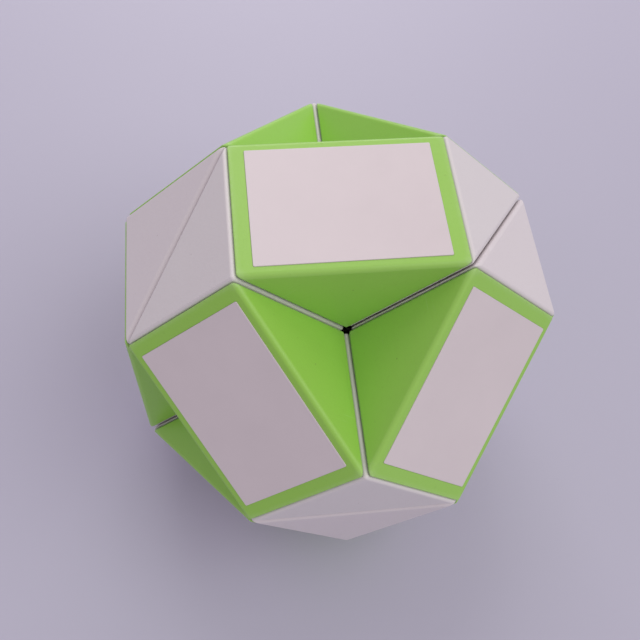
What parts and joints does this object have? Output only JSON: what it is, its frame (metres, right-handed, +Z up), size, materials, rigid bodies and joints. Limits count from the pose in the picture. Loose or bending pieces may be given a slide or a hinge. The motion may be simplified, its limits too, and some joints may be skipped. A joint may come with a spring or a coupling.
{
  "type": "folding wedge chain puzzle",
  "caption": "Hinged chain of right-angled green and white plastic wedges with white labels, folded into a round ball with triangular pits; it unfolds to a straight stick.",
  "frame": {"origin": "middle of the base, on the plane of the lowest label", "axes": "+Z up, square to the lowest and highest labelled faces; +X towards the right-hand labelled side face; -Y towards the front, where a flat face of two white wedges stands upright"},
  "size_m": [0.0566, 0.0598, 0.0566],
  "materials": {
    "green_plastic": "smooth moulded plastic, soft gloss",
    "white_plastic": "smooth moulded plastic, soft gloss",
    "label_film": "printed vinyl film, satin",
    "steel": "plated steel"
  },
  "bodies": {
    "wedge_01": {"green_wedge_01": "green_plastic", "label_01": "label_film"},
    "wedge_02": {"white_wedge_02": "white_plastic", "joint_set_01": "steel"},
    "wedge_03": {"green_wedge_03": "green_plastic", "label_03": "label_film", "joint_set_02": "steel"},
    "wedge_04": {"white_wedge_04": "white_plastic", "joint_set_03": "steel"},
    "wedge_05": {"green_wedge_05": "green_plastic", "label_05": "label_film", "joint_set_04": "steel"},
    "wedge_06": {"white_wedge_06": "white_plastic", "joint_set_05": "steel"},
    "wedge_07": {"green_wedge_07": "green_plastic", "label_07": "label_film", "joint_set_06": "steel"},
    "wedge_08": {"white_wedge_08": "white_plastic", "joint_set_07": "steel"},
    "wedge_09": {"green_wedge_09": "green_plastic", "label_09": "label_film", "joint_set_08": "steel"},
    "wedge_10": {"white_wedge_10": "white_plastic", "joint_set_09": "steel"},
    "wedge_11": {"green_wedge_11": "green_plastic", "label_11": "label_film", "joint_set_10": "steel"},
    "wedge_12": {"white_wedge_12": "white_plastic", "joint_set_11": "steel"},
    "wedge_13": {"green_wedge_13": "green_plastic", "label_13": "label_film", "joint_set_12": "steel"},
    "wedge_14": {"white_wedge_14": "white_plastic", "joint_set_13": "steel"},
    "wedge_15": {"green_wedge_15": "green_plastic", "label_15": "label_film", "joint_set_14": "steel"},
    "wedge_16": {"white_wedge_16": "white_plastic", "joint_set_15": "steel"},
    "wedge_17": {"green_wedge_17": "green_plastic", "label_17": "label_film", "joint_set_16": "steel"},
    "wedge_18": {"white_wedge_18": "white_plastic", "joint_set_17": "steel"},
    "wedge_19": {"green_wedge_19": "green_plastic", "label_19": "label_film", "joint_set_18": "steel"},
    "wedge_20": {"white_wedge_20": "white_plastic", "joint_set_19": "steel"},
    "wedge_21": {"green_wedge_21": "green_plastic", "label_21": "label_film", "joint_set_20": "steel"},
    "wedge_22": {"white_wedge_22": "white_plastic", "joint_set_21": "steel"},
    "wedge_23": {"green_wedge_23": "green_plastic", "label_23": "label_film", "joint_set_22": "steel"},
    "wedge_24": {"white_wedge_24": "white_plastic", "joint_set_23": "steel"}
  },
  "joints": [
    {"name": "turn_11", "type": "hinge", "parent": "wedge_11", "child": "wedge_12", "pos_m": [-0.00707, 0, 0.00707], "axis": [0.7071, 0, -0.7071], "range_deg": [0, 90]},
    {"name": "turn_12", "type": "hinge", "parent": "wedge_12", "child": "wedge_13", "pos_m": [-0.01414, -0.01, 0.01414], "axis": [0, -1, 0], "range_deg": [0, 90]},
    {"name": "turn_13", "type": "hinge", "parent": "wedge_13", "child": "wedge_14", "pos_m": [-0.00707, -0.02, 0.02121], "axis": [-0.7071, 0, -0.7071], "range_deg": [0, 90]},
    {"name": "turn_14", "type": "hinge", "parent": "wedge_14", "child": "wedge_15", "pos_m": [0.00707, -0.02, 0.02121], "axis": [0.7071, 0, -0.7071], "range_deg": [0, 90]},
    {"name": "turn_15", "type": "hinge", "parent": "wedge_15", "child": "wedge_16", "pos_m": [0.01414, -0.01, 0.01414], "axis": [0, 1, 0], "range_deg": [0, 90]},
    {"name": "turn_16", "type": "hinge", "parent": "wedge_16", "child": "wedge_17", "pos_m": [0.02121, 0, 0.02121], "axis": [-0.7071, 0, -0.7071], "range_deg": [0, 90]},
    {"name": "turn_17", "type": "hinge", "parent": "wedge_17", "child": "wedge_18", "pos_m": [0.02121, 0, 0.03536], "axis": [-0.7071, 0, 0.7071], "range_deg": [0, 90]},
    {"name": "turn_18", "type": "hinge", "parent": "wedge_18", "child": "wedge_19", "pos_m": [0.01414, -0.01, 0.04243], "axis": [0, 1, 0], "range_deg": [0, 90]},
    {"name": "turn_19", "type": "hinge", "parent": "wedge_19", "child": "wedge_20", "pos_m": [0.00707, -0.02, 0.03536], "axis": [0.7071, 0, 0.7071], "range_deg": [0, 90]},
    {"name": "turn_20", "type": "hinge", "parent": "wedge_20", "child": "wedge_21", "pos_m": [-0.00707, -0.02, 0.03536], "axis": [-0.7071, 0, 0.7071], "range_deg": [0, 90]},
    {"name": "turn_21", "type": "hinge", "parent": "wedge_21", "child": "wedge_22", "pos_m": [-0.01414, -0.01, 0.04243], "axis": [0, -1, 0], "range_deg": [0, 90]},
    {"name": "turn_22", "type": "hinge", "parent": "wedge_22", "child": "wedge_23", "pos_m": [-0.00707, 0, 0.0495], "axis": [0.7071, 0, 0.7071], "range_deg": [0, 90]},
    {"name": "turn_23", "type": "hinge", "parent": "wedge_23", "child": "wedge_24", "pos_m": [0.00707, 0, 0.0495], "axis": [0.7071, 0, -0.7071], "range_deg": [0, 90]},
    {"name": "turn_10", "type": "hinge", "parent": "wedge_11", "child": "wedge_10", "pos_m": [0.00707, 0, 0.00707], "axis": [-0.7071, 0, -0.7071], "range_deg": [0, 90]},
    {"name": "turn_09", "type": "hinge", "parent": "wedge_10", "child": "wedge_09", "pos_m": [0.01414, 0.01, 0.01414], "axis": [0, 1, 0], "range_deg": [0, 90]},
    {"name": "turn_08", "type": "hinge", "parent": "wedge_09", "child": "wedge_08", "pos_m": [0.00707, 0.02, 0.02121], "axis": [0.7071, 0, -0.7071], "range_deg": [0, 90]},
    {"name": "turn_07", "type": "hinge", "parent": "wedge_08", "child": "wedge_07", "pos_m": [-0.00707, 0.02, 0.02121], "axis": [-0.7071, 0, -0.7071], "range_deg": [0, 90]},
    {"name": "turn_06", "type": "hinge", "parent": "wedge_07", "child": "wedge_06", "pos_m": [-0.01414, 0.01, 0.01414], "axis": [0, -1, 0], "range_deg": [0, 90]},
    {"name": "turn_05", "type": "hinge", "parent": "wedge_06", "child": "wedge_05", "pos_m": [-0.02121, 0, 0.02121], "axis": [0.7071, 0, -0.7071], "range_deg": [0, 90]},
    {"name": "turn_04", "type": "hinge", "parent": "wedge_05", "child": "wedge_04", "pos_m": [-0.02121, 0, 0.03536], "axis": [0.7071, 0, 0.7071], "range_deg": [0, 90]},
    {"name": "turn_03", "type": "hinge", "parent": "wedge_04", "child": "wedge_03", "pos_m": [-0.01414, 0.01, 0.04243], "axis": [0, -1, 0], "range_deg": [0, 180]},
    {"name": "turn_02", "type": "hinge", "parent": "wedge_03", "child": "wedge_02", "pos_m": [-0.00707, 0.02, 0.03536], "axis": [-0.7071, 0, 0.7071], "range_deg": [0, 90]},
    {"name": "turn_01", "type": "hinge", "parent": "wedge_02", "child": "wedge_01", "pos_m": [0.00707, 0.02, 0.03536], "axis": [0.7071, 0, 0.7071], "range_deg": [0, 90]}
  ],
  "couplings": [
    {"joint": "turn_15", "follows": "turn_12", "ratio": 1},
    {"joint": "turn_05", "follows": "turn_02", "ratio": 1},
    {"joint": "turn_14", "follows": "turn_02", "ratio": 1},
    {"joint": "turn_17", "follows": "turn_02", "ratio": 1},
    {"joint": "turn_07", "follows": "turn_04", "ratio": 1},
    {"joint": "turn_16", "follows": "turn_04", "ratio": 1},
    {"joint": "turn_19", "follows": "turn_04", "ratio": 1},
    {"joint": "turn_09", "follows": "turn_06", "ratio": 1},
    {"joint": "turn_18", "follows": "turn_06", "ratio": 1},
    {"joint": "turn_21", "follows": "turn_06", "ratio": 1},
    {"joint": "turn_10", "follows": "turn_01", "ratio": 1},
    {"joint": "turn_13", "follows": "turn_01", "ratio": 1},
    {"joint": "turn_22", "follows": "turn_01", "ratio": 1},
    {"joint": "turn_11", "follows": "turn_08", "ratio": 1},
    {"joint": "turn_20", "follows": "turn_08", "ratio": 1},
    {"joint": "turn_23", "follows": "turn_08", "ratio": 1}
  ]
}
